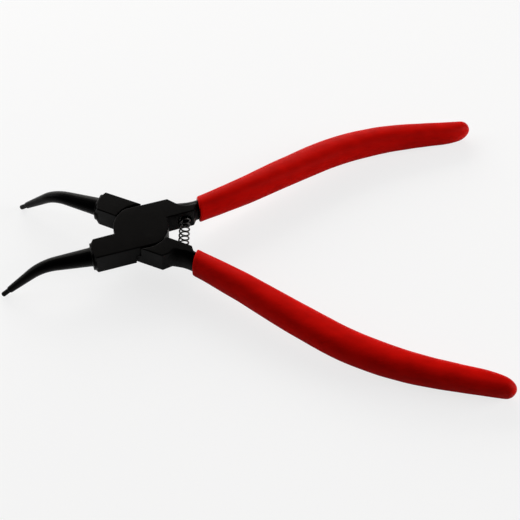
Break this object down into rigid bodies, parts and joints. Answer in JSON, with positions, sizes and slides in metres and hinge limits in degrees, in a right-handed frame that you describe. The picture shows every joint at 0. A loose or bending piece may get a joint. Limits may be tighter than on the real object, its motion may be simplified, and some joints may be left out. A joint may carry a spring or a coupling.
{
  "type": "circlip pliers",
  "caption": "Bent-nose internal circlip pliers with a lap-jointed black steel head, an opening spring between the shanks and red dipped handle grips.",
  "frame": {"origin": "centre of the pivot rivet's lower face, level with the head's underside", "axes": "+Z along the pivot, away from the side that the tips bend to; +X along the centreline towards the handles; +Y towards the top lever's handle"},
  "size_m": [0.2048, 0.1452, 0.0214],
  "materials": {
    "black_steel": "forged and ground, black oxide, satin",
    "pin_steel": "hardened pin, black oxide",
    "rivet_steel": "ground flush with the head, black oxide",
    "spring_steel": "oil-tempered spring wire",
    "grip_red": "dipped red vinyl, satin"
  },
  "bodies": {
    "top_lever": {"lever_top": "black_steel", "grip_top": "grip_red", "tip_pin_top": "pin_steel", "pivot_rivet": "rivet_steel", "return_spring": "spring_steel"},
    "bottom_lever": {"lever_bottom": "black_steel", "grip_bottom": "grip_red", "tip_pin_bottom": "pin_steel"}
  },
  "joints": [
    {"name": "squeeze", "type": "hinge", "parent": "top_lever", "child": "bottom_lever", "pos_m": [0, 0, 0], "axis": [0, 0, 1], "range_deg": [0, 42.5], "stiffness_Nm_per_rad": 0.18, "springref_deg": -5.73, "deforming": ["return_spring"]}
  ]
}
